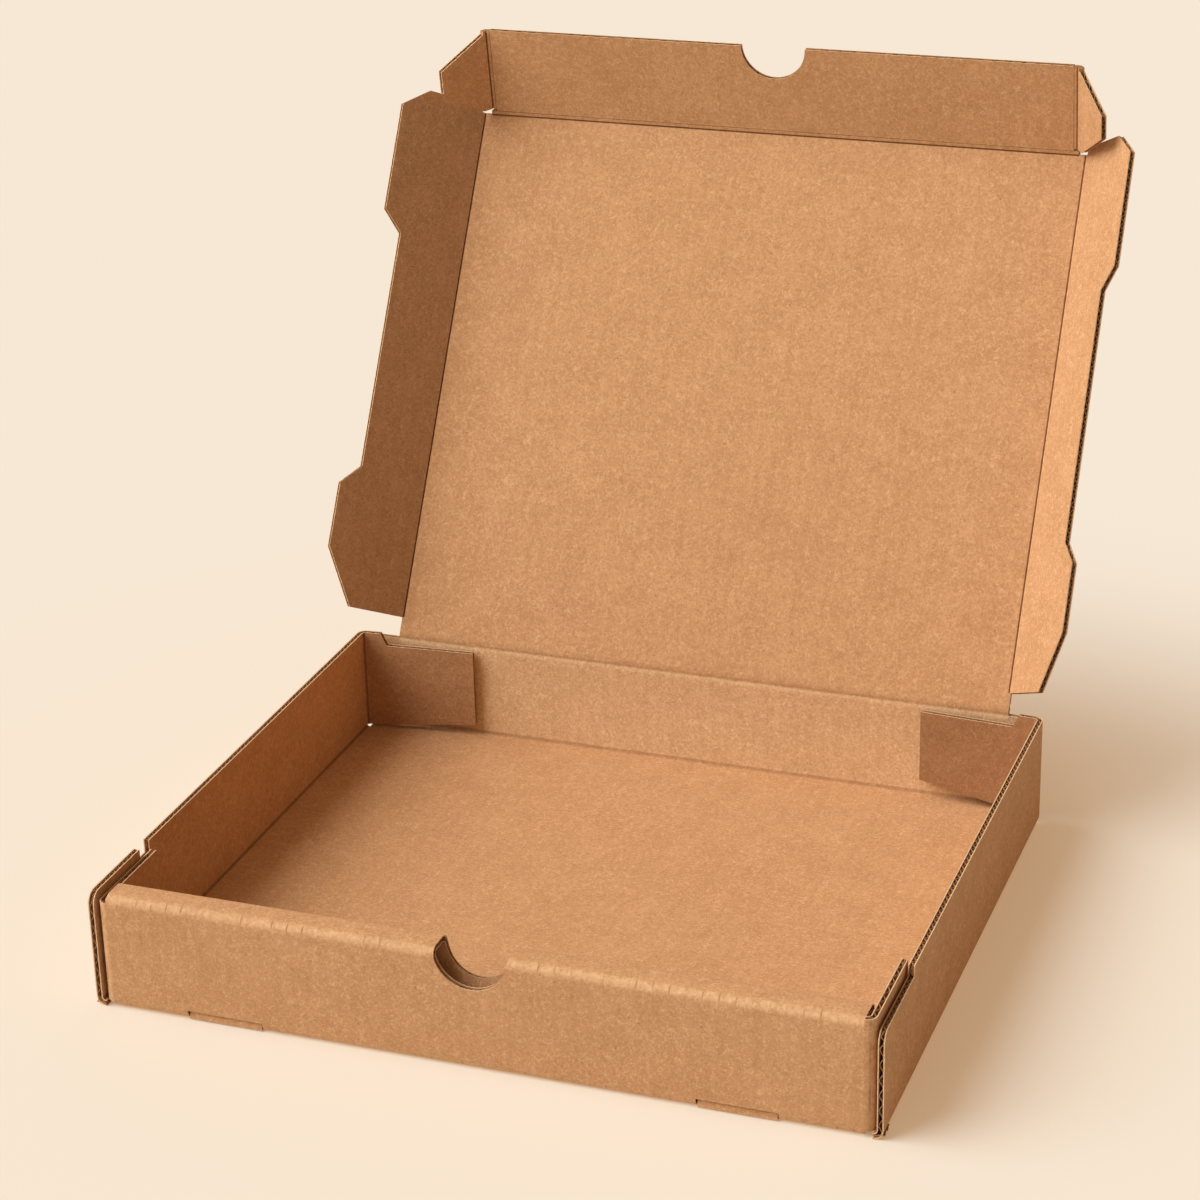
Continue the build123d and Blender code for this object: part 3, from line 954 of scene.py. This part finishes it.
    def ear(self, piece, side):
        """End of the front wall, folded back along the inside of the side wall."""
        lay, board, tray = self.lay, self.board, self.tray
        middle = lay.front + board.thickness / 2
        line = Bend([(side * lay.roll_half, middle), (side * lay.ear_mid, middle),
                     (side * lay.ear_mid, lay.front + tray.ear_length)], board.fold)
        low, high = board.thickness, lay.height - EAR_DROP[side]
        outline = [(0.0, low, True), (line.total, low, True), (line.total, high, True), (0.0, high, False)]
        piece.sheet(outline, line.spread("abw"), "s", line)

    def rear_tab(self, piece, side):
        """End of the side wall, folded in front of the back wall and cut down beside the lid."""
        lay, board, tray = self.lay, self.board, self.tray
        line = Bend([(side * lay.side_mid, lay.side_end), (side * lay.side_mid, lay.tab_corner),
                     (side * lay.tab_end[0], lay.tab_end[1])], board.fold)

        def at_width(x):
            return line.where(0, side * x, line.breaks[0], line.total)

        low, high = board.thickness + tray.tab_floor_gap, lay.height
        lowered = HINGE.z - board.thickness / 2 - TAB_TOP_GAP
        shoulder = lay.lid_half + SHOULDER_GAP
        crest = shoulder + SHOULDER_SLOPE * (high - lowered) / (high + board.thickness - lowered)
        outline = [(0.0, low, True), (at_width(lay.roll_half), low, True),
                   (line.total, low + TAB_RISE[side], True), (line.total, lowered, True),
                   (at_width(shoulder), lowered, True), (at_width(crest), high, True), (0.0, high, False)]
        # Painted shade on both faces of the tab.
        piece.sheet(outline, line.spread("abw"), "w", line, painted_shadings=(TAB_PAINTED_SHADE[side], TAB_PAINTED_SHADE[side]))


class PIZZABOX_OT_lid(PieceOperator, bpy.types.Operator):
    """Cuts the lid's top panel from fluted board"""

    bl_idname = "pizzabox.lid"
    bl_label = "Lid"

    def execute(self, context):
        self.start(context)
        lay, board, lid = self.lay, self.board, self.lid
        edge, inner = lay.lid_half - SCORE_GAP, lay.lid_half - board.crease
        top, crease = lay.lid_length - SCORE_GAP, lay.lid_length - board.crease
        front = lay.front_half - SCORE_GAP
        half = [(edge, board.crease, True), (edge, lid.flap_rear, True), (inner, lid.flap_rear, False),
                (inner, top, True), (front, top, False), (front, crease, False)]
        cuts = [cut for _, _, cut in half[-2::-1]] + [False]
        outline = half + [(-x, y, cut) for (x, y, _), cut in zip(reversed(half), cuts)]
        skin_edge = lay.lid_half - SKIN_GAP
        skin_half = [(skin_edge, board.crease), (skin_edge, top), (front, top), (front, crease)]
        skin = skin_half + [(-x, y) for x, y in reversed(skin_half)]
        piece = Piece(self.board)
        piece.sheet(outline, lay.lid.place(board.thickness), "s", skin=skin)
        self.done(piece, "lid")
        return {"FINISHED"}


class PIZZABOX_OT_side_flaps(PieceOperator, bpy.types.Operator):
    """Cuts the lid's side flaps from fluted board"""

    bl_idname = "pizzabox.side_flaps"
    bl_label = "Side Flaps"

    def execute(self, context):
        self.start(context)
        lay, board, lid = self.lay, self.board, self.lid
        deep = lid.flap_depth
        end = lay.lid_length + lid.flap_front
        waist = lay.lid_length - lid.waist_front
        outline = [
            (board.crease, lid.flap_rear, True),
            (deep - REAR_CUT[0], lid.flap_rear, True),
            (deep, lid.flap_rear + REAR_CUT[1], True),
            (deep, lid.waist_rear, True),
            (deep - lid.waist_cut, lid.waist_rear + lid.waist_slope, True),
            (deep - lid.waist_cut, waist - lid.waist_slope, True),
            (deep, waist, True),
            (deep, end - FRONT_CUT[1], True),
            (deep - FRONT_CUT[0], end, True),
            (board.crease, end, False),
        ]
        for side, word in SIDES.items():
            cut = [(s, side * w, edge) for s, w, edge in outline]
            low, high = side * (lid.flap_rear + 2 * SCORE_GAP), side * (lay.lid_length - 2 * SCORE_GAP)
            skin = [(SKIN_GAP, low), (board.crease, low)] + cut + [(board.crease, high), (SKIN_GAP, high)]
            piece = Piece(self.board)
            place = lay.flaps[side].place(board.thickness)
            # Painted shade on the inner face of the left flap.
            piece.sheet(cut, place, "s", skin=skin, painted_shadings=(FLAP_PAINTED_SHADE[side], 0.0))
            self.done(piece, "lid_%s_flap" % word)
        return {"FINISHED"}


class PIZZABOX_OT_front_flap(PieceOperator, bpy.types.Operator):
    """Cuts the lid's front flap, with its finger cut, from fluted board"""

    bl_idname = "pizzabox.front_flap"
    bl_label = "Front Flap"

    def execute(self, context):
        self.start(context)
        lay, board, lid, tray = self.lay, self.board, self.lid, self.tray
        deep = lid.flap_depth
        edge, half = lay.front_half - 2 * SCORE_GAP, lay.front_half - board.crease - SCORE_GAP / 2
        root, foot = board.crease + SCORE_GAP / 2, lid.tab_inset - 2 * SCORE_GAP
        outline = [(root, -edge, True), (foot, -edge, False), (foot, -half, False), (deep, -half, True)]
        for step in range(2 * THUMB_STEPS + 1):
            turn = pi / 2 * step / THUMB_STEPS
            outline.append((deep - tray.thumb * sin(turn), -tray.thumb * cos(turn), True))
        outline += [(deep, half, False), (foot, half, False), (foot, edge, True), (root, edge, False)]
        piece = Piece(self.board)
        piece.sheet(outline, lay.front_flap.place(board.thickness), "w")
        self.done(piece, "lid_front_flap")
        return {"FINISHED"}


class PIZZABOX_OT_corner_tabs(PieceOperator, bpy.types.Operator):
    """Cuts the tabs at the ends of the lid's front flap from fluted board"""

    bl_idname = "pizzabox.corner_tabs"
    bl_label = "Corner Tabs"

    def execute(self, context):
        self.start(context)
        lay, board, lid = self.lay, self.board, self.lid
        rise = (lid.flap_depth - lid.tab_top - lid.tip_inset - lid.tip_width) / (lid.tab_reach - SCORE_GAP)
        root = lid.flap_depth - lid.tab_top - rise * (board.crease - SCORE_GAP)
        outline = [
            (board.crease, lid.tab_inset, True),
            (lid.tab_shoulder, lid.tab_inset, True),
            (lid.tab_reach, lid.tip_inset, True),
            (lid.tab_reach, lid.tip_inset + lid.tip_width, True),
            (board.crease, root, False),
        ]
        for side, word in SIDES.items():
            piece = Piece(self.board)
            piece.sheet([(s, side * w, cut) for s, w, cut in outline],
                        lay.corners[side].place(board.thickness), "s")
            self.done(piece, "lid_%s_corner_tab" % word)
        return {"FINISHED"}


class PIZZABOX_OT_creases(PieceOperator, bpy.types.Operator):
    """Adds the crushed board along every crease that moves"""

    bl_idname = "pizzabox.creases"
    bl_label = "Creases"

    def execute(self, context):
        self.start(context)
        lay, lid = self.lay, self.lid
        half, front_half = lay.lid_half - SCORE_GAP, lay.front_half - SCORE_GAP
        out = Vector((0, self.board.thickness / 2, 0))
        wall = Panel(HINGE + out, (0, 0, -1), (0, -1, 0))
        lid_back = Panel(lay.lid.origin, lay.lid.y, lay.lid.z)
        # The hinge bar carries weak painted shade on its scored line, and the back wall's painted light on
        # the wall's side.
        self.crease("crease_hinge", ("tray", "lid"), wall, lid_back, self.hinge_ring(wall, lid_back), RIGHT,
                    (-half, half), across=True, crease_shade=HINGE_CREASE_SHADE, painted_shading=BACK_PAINTED_LIGHT)
        for side, word in SIDES.items():
            flap = lay.flaps[side]
            inner = Panel(flap.origin, -side * lay.lid.x, lay.lid.z)
            joint = "lid_%s_flap_fold" % word
            span = (lid.flap_rear, lay.lid_length - SCORE_GAP)
            halves = (("lid", inner, flap, 0.0), ("lid_%s_flap" % word, flap, inner, FLAP_PAINTED_SHADE[side]))
            for body, panel, other, painted_shading in halves:
                name = "crease_%s_of_%s" % (word, body)
                self.crushed(name, body, joint, panel, other, lay.lid.y, span, painted_shading)
        flap = lay.front_flap
        inner = Panel(flap.origin, -lay.lid.y, lay.lid.z)
        self.crease("crease_lid_front", ("lid", "lid_front_flap"), inner, flap, self.fold_ring(inner, flap),
                    RIGHT, (-front_half, front_half), across=True)
        for side, word in SIDES.items():
            tab = lay.corners[side]
            inner = Panel(tab.origin, side * flap.y, flap.z)
            bodies = ("lid_front_flap", "lid_%s_corner_tab" % word)
            self.crease("crease_corner_%s" % word, bodies, inner, tab, self.fold_ring(inner, tab), flap.x,
                        (lid.tab_inset, lid.flap_depth - SCORE_GAP), across=False)
        return {"FINISHED"}

    def hinge_ring(self, wall, lid):
        """Section of crushed board that bends about its middle: its outer and its inner points."""
        board = self.board
        half, reach, groove = board.thickness / 2, board.crease, board.groove
        towards = (wall.z + lid.z) / 2
        outer = [HINGE + wall.x * reach - wall.z * half, HINGE - towards * half,
                 HINGE + lid.x * reach - lid.z * half]
        inner = [HINGE + wall.x * reach + wall.z * half, HINGE + wall.x * groove + wall.z * half,
                 HINGE + towards * (half - groove * HINGE_GROOVE),
                 HINGE + lid.x * groove + lid.z * half, HINGE + lid.x * reach + lid.z * half]
        return outer, inner

    def fold_ring(self, first, second):
        """Section of crushed board that bends about its outer face: its outer and its inner points."""
        board = self.board
        t, reach, groove = board.thickness, board.crease, board.groove
        start = first.origin
        meet = t * tan(first.z.angle(second.z) / 2)
        corner = start + first.x * meet + first.z * t
        floor = corner + (start - corner).normalized() * groove
        shoulder, lip = reach * CREASE_SHOULDER, meet + groove * GROOVE_LIP
        outer = [start + first.x * reach, start + first.x * shoulder,
                 start + (first.x + second.x) * reach * CREASE_CROWN,
                 start + second.x * shoulder, start + second.x * reach]
        inner = [start + first.x * reach + first.z * t, start + first.x * lip + first.z * t, floor,
                 start + second.x * lip + second.z * t, start + second.x * reach + second.z * t]
        return outer, inner

    def crease(self, name, bodies, first, second, ring, along, span, across, crease_shade=1.0, painted_shading=0.0):
        """Bent bar of crushed board between two panels that share a fold line, with painted shade on its
        scored line. The painted shading given is that of the first panel.
        """
        outer, inner = ring
        plain = [0.0] * len(outer)
        crease_shades = plain + [0.0, 0.0, crease_shade, 0.0, 0.0]
        painted_shadings = plain + [0.0, 0.0, 0.0, painted_shading, painted_shading]
        made = self.bar(name, outer + inner[::-1], crease_shades, painted_shadings, along, span, across)
        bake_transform(made)

    def crushed(self, name, body, joint, panel, other, along, span, painted_shading):
        """Crushed board of one panel along its fold line, pressed back as the fold closes."""
        board = self.board
        t, reach, groove, liner = board.thickness, board.crease, board.groove, board.liner
        slope = tan(panel.z.angle(other.z) / 2)
        meet = Vector((t * slope, t))
        floor = meet * (1 - groove / meet.length)
        spots = [(reach, liner), (liner * slope, liner), floor, (meet.x + groove * GROOVE_LIP, t), (reach, t)]
        ring = [panel.origin + panel.x * x + panel.z * z for x, z in spots]
        # Painted shade on the scored corners, and the panel's painted shading over the whole bar.
        crease_shades = [0.0, 1.0, 1.0, 0.0, 0.0]
        made = self.bar(name, ring, crease_shades, [painted_shading] * len(ring), along, span, across=False)
        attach(made, body)
        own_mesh(made)

    def bar(self, name, ring, crease_shades, painted_shadings, along, span, across):
        """Solid bar with one cross-section; each corner carries a painted crease shade and a painted shading.
        """
        mesh = bmesh.new()
        uv = mesh.loops.layers.uv.new("blank")
        # Layers of painted shade inside the crease and of the panel's painted shading.
        crease = mesh.verts.layers.float.new("crease")
        shade = mesh.verts.layers.float.new("painted_shading")
        ends = [[mesh.verts.new(point + along * place) for point in ring] for place in span]
        count = len(ring)
        for end in ends:
            for vert, crease_shade, painted_shading in zip(end, crease_shades, painted_shadings):
                vert[crease] = crease_shade
                vert[shade] = painted_shading
        for index in range(count):
            after = (index + 1) % count
            found = mesh.faces.new([ends[0][index], ends[0][after], ends[1][after], ends[1][index]])
            found.smooth = True
            places = (span[0], span[0], span[1], span[1])
            for loop, place in zip(found.loops, places):
                loop[uv].uv = (place, 0.0) if across else (0.0, place)
        for end in ends:
            mesh.faces.new(end).material_index = Piece.FLUTE
        made = finished(name, mesh, self.shop.materials)
        return made


class PIZZABOX_OT_stage(PieceOperator, bpy.types.Operator):
    """Adds the floor, the light and the camera"""

    bl_idname = "pizzabox.stage"
    bl_label = "Stage"

    def execute(self, context):
        look = context.scene.pizza_box.stage
        self.floor(context, look)
        self.lights(context, look)
        self.camera(context, look)
        context.scene.view_settings.view_transform = "Standard"
        return {"FINISHED"}

    def floor(self, context, look):
        """Wide floor. A share of it glows so that shadows stay pale, and it fades into the background."""
        ways = ((-1, -1), (1, -1), (1, 1), (-1, 1))
        data = bpy.data.meshes.new("floor")
        data.from_pydata([(FLOOR_HALF * x, FLOOR_HALF * y, 0) for x, y in ways], [], [(0, 1, 2, 3)])
        material = bpy.data.materials.new("floor_paper")
        n = Nodes.of(material)
        matte = n.new("ShaderNodeBsdfPrincipled", {"Base Color": (*look.floor, 1), "Roughness": 0.95,
                                                   "Specular IOR Level": 0.1})
        shine = n.new("ShaderNodeEmission", {"Color": (*look.floor_glow, 1), "Strength": 1.0})
        both = n.new("ShaderNodeMixShader", {0: look.glow, 1: matte.outputs[0], 2: shine.outputs[0]})
        place = n.new("ShaderNodeTexCoord").outputs["Object"]
        distance = n.new("ShaderNodeVectorMath", {0: place}, operation="LENGTH").outputs["Value"]
        away = n.band(distance, look.fade_start, look.fade_end)
        far = n.new("ShaderNodeEmission", {"Color": (*look.beyond, 1), "Strength": 1.0})
        seamless = n.new("ShaderNodeMixShader", {0: away, 1: both.outputs[0], 2: far.outputs[0]})
        n.new("ShaderNodeOutputMaterial", {0: seamless.outputs[0]})
        data.materials.append(material)
        made = bpy.data.objects.new("floor", data)
        context.scene.collection.objects.link(made)

    def lights(self, context, look):
        lamp = bpy.data.lights.new("key", "SUN")
        lamp.energy = look.key
        lamp.angle = look.key_size
        lamp.color = look.key_colour
        key = bpy.data.objects.new("key", lamp)
        key.rotation_euler = Vector(look.key_from).to_track_quat("Z", "Y").to_euler()
        context.scene.collection.objects.link(key)
        world = bpy.data.worlds.new("studio")
        n = Nodes.of(world)
        way = n.new("ShaderNodeSeparateXYZ", {0: n.new("ShaderNodeTexCoord").outputs["Generated"]})
        level = n.math("MULTIPLY_ADD", way.outputs[0], -look.fill * look.fill_side, look.fill)
        level = n.math("MULTIPLY_ADD", way.outputs[2], look.fill * look.fill_top, level)
        tint = n.mix(n.band(way.outputs[0], -1.0, 1.0), look.fill_left, look.fill_right)
        fill = n.new("ShaderNodeBackground", {"Color": tint, "Strength": level})
        beyond = n.new("ShaderNodeBackground", {"Color": (*look.beyond, 1), "Strength": 1.0})
        path = n.new("ShaderNodeLightPath").outputs
        seen = n.math("MAXIMUM", path["Is Camera Ray"], path["Is Glossy Ray"])
        seen = n.math("MAXIMUM", seen, path["Is Transmission Ray"])
        both = n.new("ShaderNodeMixShader", {0: seen, 1: fill.outputs[0], 2: beyond.outputs[0]})
        n.new("ShaderNodeOutputWorld", {0: both.outputs[0]})
        context.scene.world = world

    def camera(self, context, look):
        data = bpy.data.cameras.new("camera")
        data.sensor_width = SENSOR
        data.lens = look.lens
        data.clip_end = CLIP_END
        camera = bpy.data.objects.new("camera", data)
        flat = cos(look.elevation)
        back = Vector((sin(look.azimuth) * flat, -cos(look.azimuth) * flat, sin(look.elevation)))
        right = Vector((cos(look.azimuth), sin(look.azimuth), 0))
        up = back.cross(right)
        tilt = Matrix.Rotation(look.roll, 3, back)
        turn = Matrix((tilt @ right, tilt @ up, back)).transposed()
        camera.matrix_world = Matrix.Translation(look.place) @ turn.to_4x4()
        context.scene.collection.objects.link(camera)
        context.scene.camera = camera


class PIZZABOX_PT_panel(bpy.types.Panel):
    """Lists the pieces of the pizza box"""

    bl_label = "Pizza Box"
    bl_idname = "PIZZABOX_PT_panel"
    bl_space_type = "VIEW_3D"
    bl_region_type = "UI"
    bl_category = "Pizza Box"

    def draw(self, context):
        settings = context.scene.pizza_box
        for group in (settings.board, settings.tray, settings.lid, settings.kraft, settings.stage):
            box = self.layout.box()
            for name in group.__annotations__:
                box.prop(group, name)
        for operator in OPERATORS:
            self.layout.operator(operator.bl_idname)


GROUPS = (BoardSizes, TraySizes, LidSizes, KraftColours, StageLook, BoxSettings)
OPERATORS = (PIZZABOX_OT_tray, PIZZABOX_OT_lid, PIZZABOX_OT_side_flaps, PIZZABOX_OT_front_flap,
             PIZZABOX_OT_corner_tabs, PIZZABOX_OT_creases, PIZZABOX_OT_stage)
CLASSES = (*GROUPS, *OPERATORS, PIZZABOX_PT_panel)


def register():
    for item in CLASSES:
        bpy.utils.register_class(item)
    bpy.types.Scene.pizza_box = PointerProperty(type=BoxSettings)


def unregister():
    del bpy.types.Scene.pizza_box
    for item in reversed(CLASSES):
        bpy.utils.unregister_class(item)


def main():
    register()
    bpy.ops.pizzabox.tray()
    bpy.ops.pizzabox.lid()
    bpy.ops.pizzabox.side_flaps()
    bpy.ops.pizzabox.front_flap()
    bpy.ops.pizzabox.corner_tabs()
    bpy.ops.pizzabox.creases()
    bpy.ops.pizzabox.stage()


if __name__ == "__main__":
    main()
